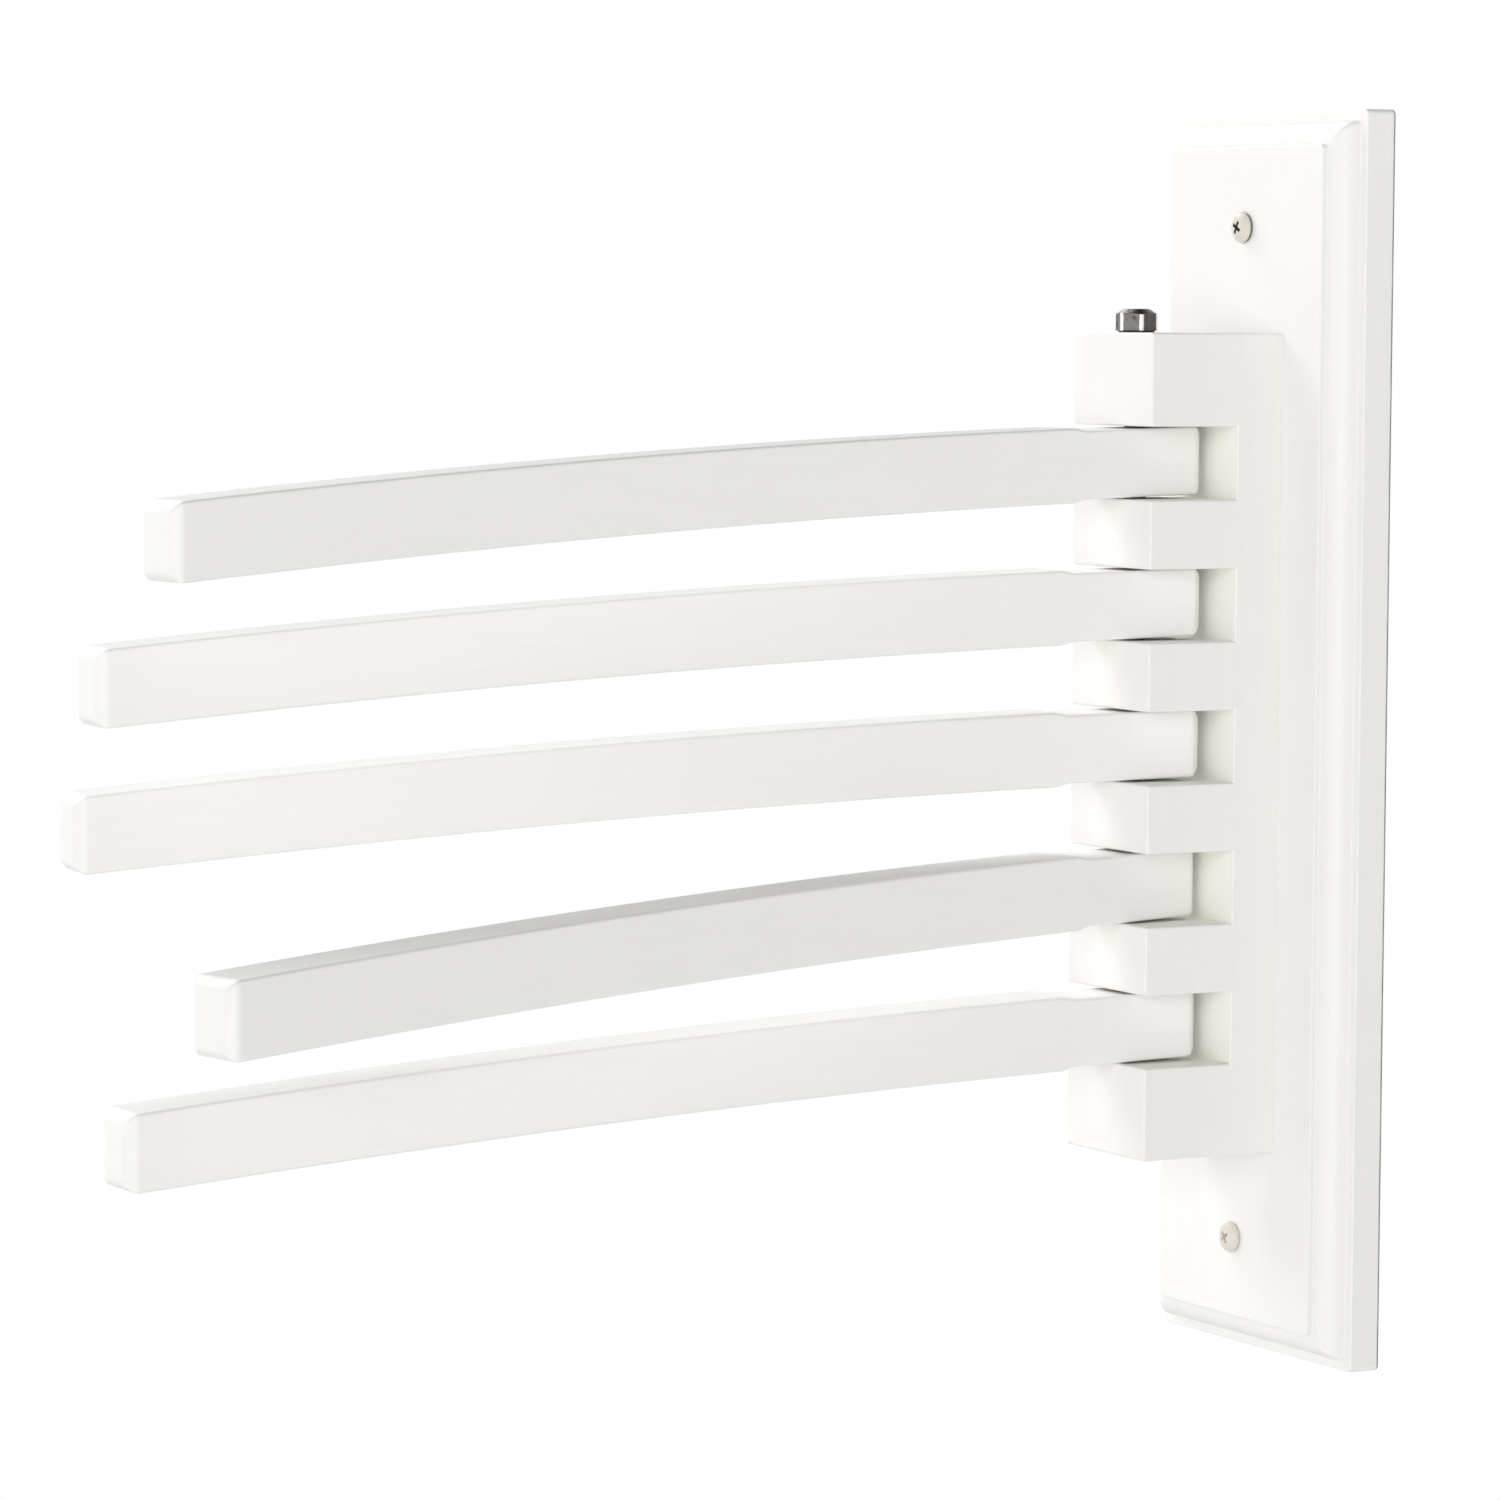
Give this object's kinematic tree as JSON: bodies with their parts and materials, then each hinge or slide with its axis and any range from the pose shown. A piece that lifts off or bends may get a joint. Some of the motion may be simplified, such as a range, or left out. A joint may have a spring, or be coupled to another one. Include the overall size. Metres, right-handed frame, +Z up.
{
  "type": "swing arm drying rack",
  "caption": "White wooden wall rack: a back plate with a routed edge carries a slotted block, in which square arms swing sideways on one long upright bolt.",
  "frame": {"origin": "the middle of the back plate's rear face, in the plane of the wall", "axes": "+Z up, +Y into the wall, so that the arms stand out towards -Y, and +X to the right for a person who faces the wall"},
  "size_m": [0.1064, 0.3461, 0.338],
  "materials": {
    "white_paint": "satin white paint on wood",
    "zinc_bolt": "grey zinc plating, slightly dulled",
    "brass_insert": "turned brass",
    "white_screw": "white enamel",
    "hidden_screw": "yellow zinc plating"
  },
  "bodies": {
    "wall_frame": {"back_plate": "white_paint", "pivot_block": "white_paint", "pivot_bolt": "zinc_bolt", "threaded_insert": "brass_insert", "wall_screw_upper": "white_screw", "wall_screw_lower": "white_screw", "block_screw_1": "hidden_screw", "block_screw_2": "hidden_screw", "block_screw_3": "hidden_screw", "block_screw_4": "hidden_screw"},
    "swing_arm_1": {"arm_1": "white_paint"},
    "swing_arm_2": {"arm_2": "white_paint"},
    "swing_arm_3": {"arm_3": "white_paint"},
    "swing_arm_4": {"arm_4": "white_paint"},
    "swing_arm_5": {"arm_5": "white_paint"}
  },
  "joints": [
    {"name": "arm_1_swing", "type": "hinge", "parent": "wall_frame", "child": "swing_arm_1", "pos_m": [0, -0.0511, 0.07471], "axis": [0, 0, 1], "range_deg": [-100.9, 91.1]},
    {"name": "arm_2_swing", "type": "hinge", "parent": "wall_frame", "child": "swing_arm_2", "pos_m": [0, -0.0511, 0.03665], "axis": [0, 0, 1], "range_deg": [-92.1, 99.9]},
    {"name": "arm_3_swing", "type": "hinge", "parent": "wall_frame", "child": "swing_arm_3", "pos_m": [0, -0.0511, -0.0014], "axis": [0, 0, 1], "range_deg": [-88.7, 103.3]},
    {"name": "arm_4_swing", "type": "hinge", "parent": "wall_frame", "child": "swing_arm_4", "pos_m": [0, -0.0511, -0.03945], "axis": [0, 0, 1], "range_deg": [-105.9, 86.1]},
    {"name": "arm_5_swing", "type": "hinge", "parent": "wall_frame", "child": "swing_arm_5", "pos_m": [0, -0.0511, -0.07751], "axis": [0, 0, 1], "range_deg": [-96, 96]}
  ]
}
